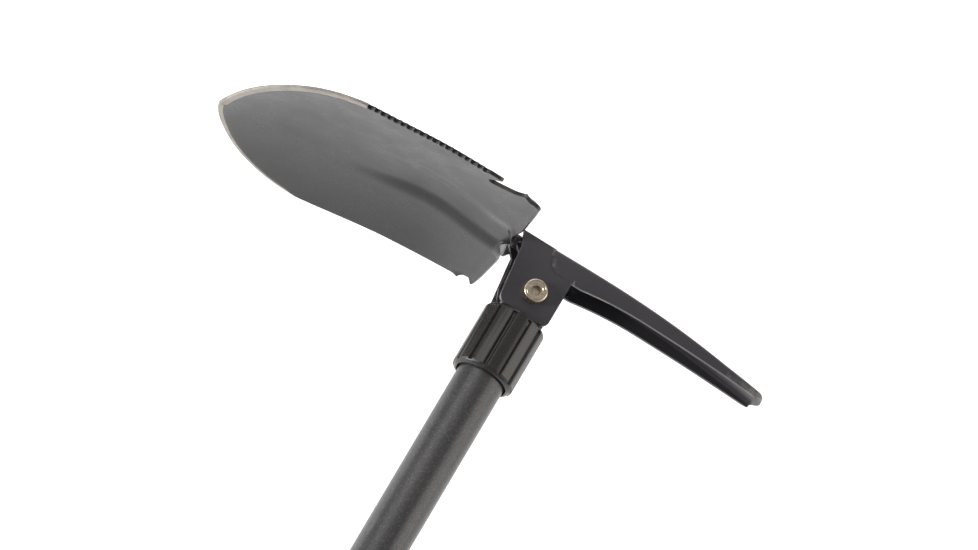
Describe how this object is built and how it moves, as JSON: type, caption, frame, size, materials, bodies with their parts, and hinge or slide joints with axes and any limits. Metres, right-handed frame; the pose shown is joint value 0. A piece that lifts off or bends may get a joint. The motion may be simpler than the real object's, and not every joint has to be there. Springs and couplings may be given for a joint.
{
  "type": "folding camp shovel",
  "caption": "Folding camp shovel: dished spade blade with a saw edge and a channel pick on one pivot bolt, locked by a ribbed screw collar on a tubular handle.",
  "frame": {"origin": "centre of the handle's flat butt end", "axes": "the tool lies on its side: +Y runs along the handle from the butt to the head, +X towards the pick, +Z along the pivot bolt towards its head"},
  "size_m": [0.2678, 0.2841, 0.1254],
  "materials": {
    "blade_paint": "satin grey-black coat with a bare ground edge",
    "pick_paint": "satin blue-black coat",
    "nickel_steel": "warm nickel plate",
    "zinc_steel": "zinc plate",
    "ferrule_metal": "turned",
    "tube_coat": "fine-grained powder coat",
    "collar_plastic": "moulded, semi-gloss",
    "cap_plastic": "moulded, fine grain",
    "rubber": "matt",
    "grip_rubber": "matt, ribbed",
    "nylon": "plain"
  },
  "bodies": {
    "handle": {"handle_tube": "tube_coat", "grip_sleeve": "grip_rubber", "end_cap": "cap_plastic", "end_cap_pin": "zinc_steel", "end_cap_seal": "rubber", "threaded_ferrule": "ferrule_metal", "ferrule_rivet_left": "zinc_steel", "ferrule_rivet_right": "zinc_steel", "hinge_lug": "zinc_steel", "lug_cross_pin": "zinc_steel", "pivot_bolt": "nickel_steel", "pivot_nut": "nickel_steel", "nut_washer": "nickel_steel", "pivot_sleeve": "zinc_steel", "lug_washer_front": "nylon", "lug_washer_rear": "nylon"},
    "pick_head": {"pick": "pick_paint", "ear_washer_front": "zinc_steel", "ear_washer_rear": "zinc_steel"},
    "blade_head": {"blade": "blade_paint"},
    "collar_carrier": {"collar_wiper_ring": "rubber"},
    "collar": {"locking_collar": "collar_plastic"}
  },
  "joints": [
    {"name": "head_swing", "type": "hinge", "parent": "handle", "child": "pick_head", "pos_m": [0, 0.26, 0], "axis": [0, 0, -1], "range_deg": [0, 90]},
    {"name": "blade_fold", "type": "hinge", "parent": "pick_head", "child": "blade_head", "pos_m": [0, 0.26, 0], "axis": [0, 0, 1], "range_deg": [0, 82]},
    {"name": "collar_spin", "type": "hinge", "parent": "collar_carrier", "child": "collar", "pos_m": [0, 0.26, 0], "axis": [0, -1, 0], "range_deg": [0, 720]},
    {"name": "collar_travel", "type": "slide", "parent": "handle", "child": "collar_carrier", "axis": [0, -1, 0], "range_m": [0, 0.006]}
  ],
  "couplings": [
    {"joint": "collar_travel", "follows": "collar_spin", "m_per_rad": 0.00047746}
  ]
}
